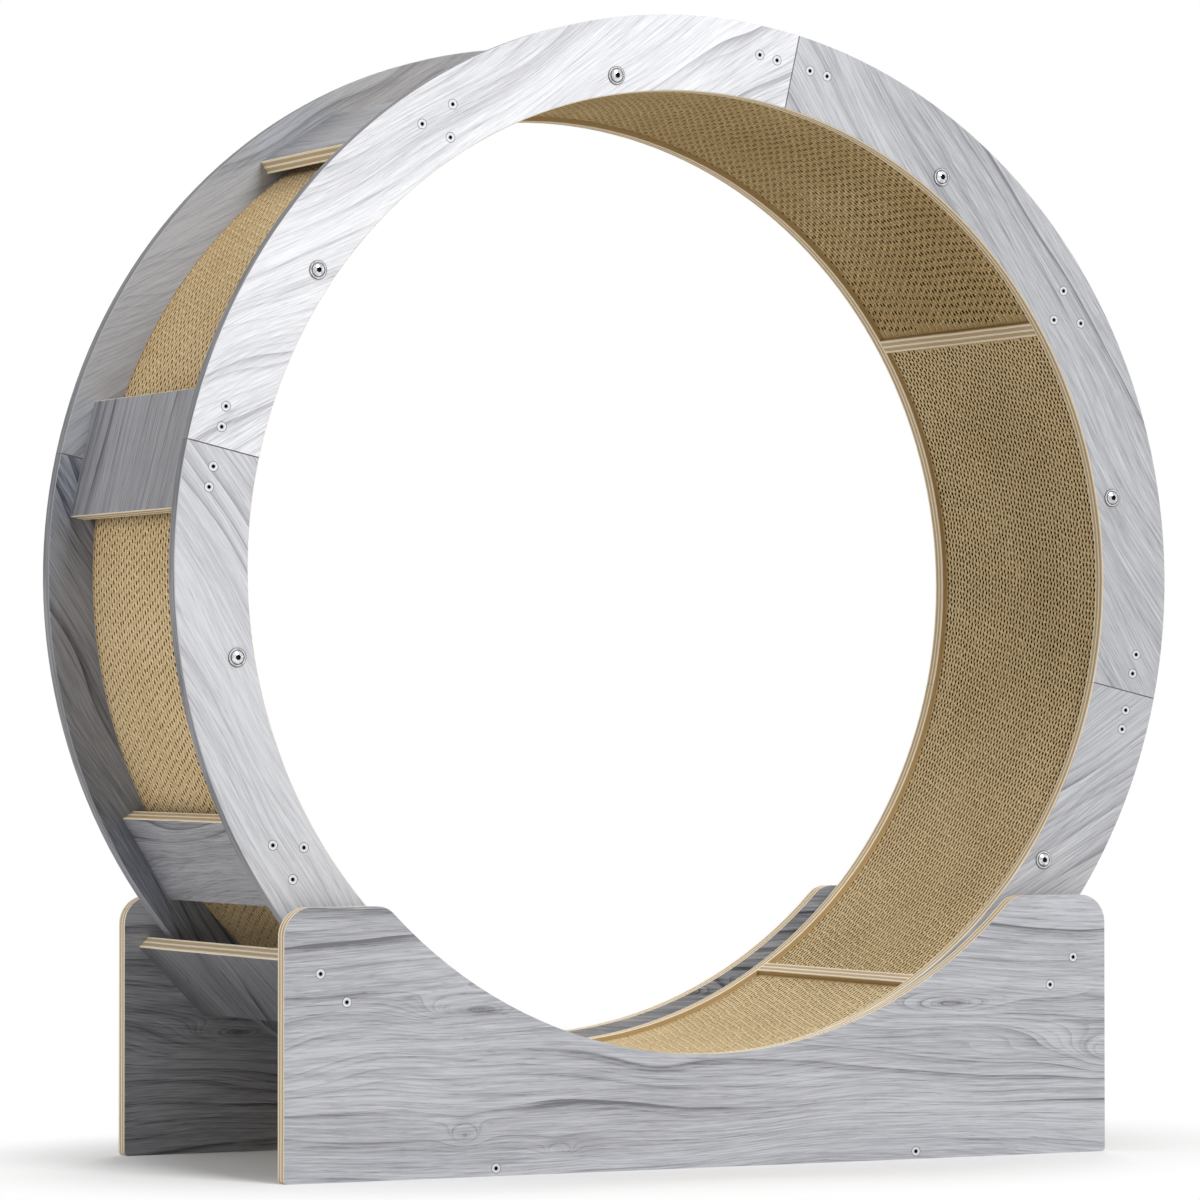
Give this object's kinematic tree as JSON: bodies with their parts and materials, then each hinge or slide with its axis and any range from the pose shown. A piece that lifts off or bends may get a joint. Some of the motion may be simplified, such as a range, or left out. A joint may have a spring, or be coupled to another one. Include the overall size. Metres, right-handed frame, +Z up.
{
  "type": "cat exercise wheel",
  "caption": "Large plywood exercise wheel for a cat, with a corrugated cardboard running track between two side rings, turning on rollers in a low U-shaped plywood base.",
  "frame": {"origin": "on the floor, under the middle of the base and of the wheel", "axes": "+X along the base to the right as seen from the front, +Y from the front panel to the rear panel along the wheel's axle, +Z up"},
  "size_m": [1.1, 0.406, 1.128],
  "materials": {
    "ring_plywood": "grey wood-grain laminate with raw layered edges",
    "panel_plywood": "grey wood-grain laminate with raw layered edges",
    "board_plywood": "grey wood-grain laminate with raw layered edges",
    "raw_plywood": "raw layered plywood edge",
    "cardboard": "open corrugated edge",
    "chrome": "polished",
    "zinc_steel": "bright zinc",
    "bearing_steel": "ground",
    "nylon": "satin"
  },
  "bodies": {
    "base": {"front_panel": "panel_plywood", "rear_panel": "panel_plywood", "left_roller_board": "board_plywood", "right_roller_board": "board_plywood", "floor_board": "board_plywood", "front_base_screws": "zinc_steel", "rear_base_screws": "zinc_steel", "roller_pins": "bearing_steel", "bearing_inner_rings": "bearing_steel", "bearing_spacers": "bearing_steel", "keeper_plates": "zinc_steel", "keeper_screws": "zinc_steel", "guide_bolts": "zinc_steel", "guide_spacers": "zinc_steel", "guide_washers": "zinc_steel", "guide_nuts": "zinc_steel"},
    "wheel": {"front_ring_1": "ring_plywood", "front_ring_2": "ring_plywood", "front_ring_3": "ring_plywood", "front_ring_4": "ring_plywood", "rear_ring_1": "ring_plywood", "rear_ring_2": "ring_plywood", "rear_ring_3": "ring_plywood", "rear_ring_4": "ring_plywood", "joint_board_1": "board_plywood", "joint_board_2": "board_plywood", "joint_board_3": "board_plywood", "joint_board_4": "board_plywood", "cap_board_1": "board_plywood", "cap_board_2": "board_plywood", "cap_board_3": "board_plywood", "cap_board_4": "board_plywood", "stem_board_1": "raw_plywood", "stem_board_2": "raw_plywood", "stem_board_3": "raw_plywood", "stem_board_4": "raw_plywood", "tread_1": "cardboard", "tread_2": "cardboard", "tread_3": "cardboard", "tread_4": "cardboard", "tie_rods": "zinc_steel", "front_cap_bolts": "chrome", "rear_cap_bolts": "chrome", "front_ring_screws": "zinc_steel", "rear_ring_screws": "zinc_steel"},
    "front_left_roller": {"front_left_roller_tyre": "nylon", "front_left_roller_races": "bearing_steel"},
    "front_right_roller": {"front_right_roller_tyre": "nylon", "front_right_roller_races": "bearing_steel"},
    "rear_left_roller": {"rear_left_roller_tyre": "nylon", "rear_left_roller_races": "bearing_steel"},
    "rear_right_roller": {"rear_right_roller_tyre": "nylon", "rear_right_roller_races": "bearing_steel"},
    "front_left_guide": {"front_left_guide_roller": "nylon"},
    "front_right_guide": {"front_right_guide_roller": "nylon"},
    "rear_left_guide": {"rear_left_guide_roller": "nylon"},
    "rear_right_guide": {"rear_right_guide_roller": "nylon"}
  },
  "joints": [
    {"name": "wheel_spin", "type": "hinge", "parent": "base", "child": "wheel", "pos_m": [0, 0, 0.578], "axis": [0, 1, 0], "continuous": true},
    {"name": "front_left_roller_spin", "type": "hinge", "parent": "base", "child": "front_left_roller", "pos_m": [-0.39478, -0.1595, 0.18322], "axis": [0, 1, 0], "continuous": true},
    {"name": "front_right_roller_spin", "type": "hinge", "parent": "base", "child": "front_right_roller", "pos_m": [0.39478, -0.1595, 0.18322], "axis": [0, 1, 0], "continuous": true},
    {"name": "rear_left_roller_spin", "type": "hinge", "parent": "base", "child": "rear_left_roller", "pos_m": [-0.39478, 0.1595, 0.18322], "axis": [0, 1, 0], "continuous": true},
    {"name": "rear_right_roller_spin", "type": "hinge", "parent": "base", "child": "rear_right_roller", "pos_m": [0.39478, 0.1595, 0.18322], "axis": [0, 1, 0], "continuous": true},
    {"name": "front_left_guide_spin", "type": "hinge", "parent": "base", "child": "front_left_guide", "pos_m": [-0.38573, -0.138, 0.19227], "axis": [-0.7071, 0, -0.7071], "continuous": true},
    {"name": "front_right_guide_spin", "type": "hinge", "parent": "base", "child": "front_right_guide", "pos_m": [0.38573, -0.138, 0.19227], "axis": [0.7071, 0, -0.7071], "continuous": true},
    {"name": "rear_left_guide_spin", "type": "hinge", "parent": "base", "child": "rear_left_guide", "pos_m": [-0.38573, 0.138, 0.19227], "axis": [-0.7071, 0, -0.7071], "continuous": true},
    {"name": "rear_right_guide_spin", "type": "hinge", "parent": "base", "child": "rear_right_guide", "pos_m": [0.38573, 0.138, 0.19227], "axis": [0.7071, 0, -0.7071], "continuous": true}
  ],
  "couplings": [
    {"joint": "front_left_roller_spin", "follows": "wheel_spin", "ratio": -68.75},
    {"joint": "front_right_roller_spin", "follows": "wheel_spin", "ratio": -68.75},
    {"joint": "rear_left_roller_spin", "follows": "wheel_spin", "ratio": -68.75},
    {"joint": "rear_right_roller_spin", "follows": "wheel_spin", "ratio": -68.75}
  ]
}
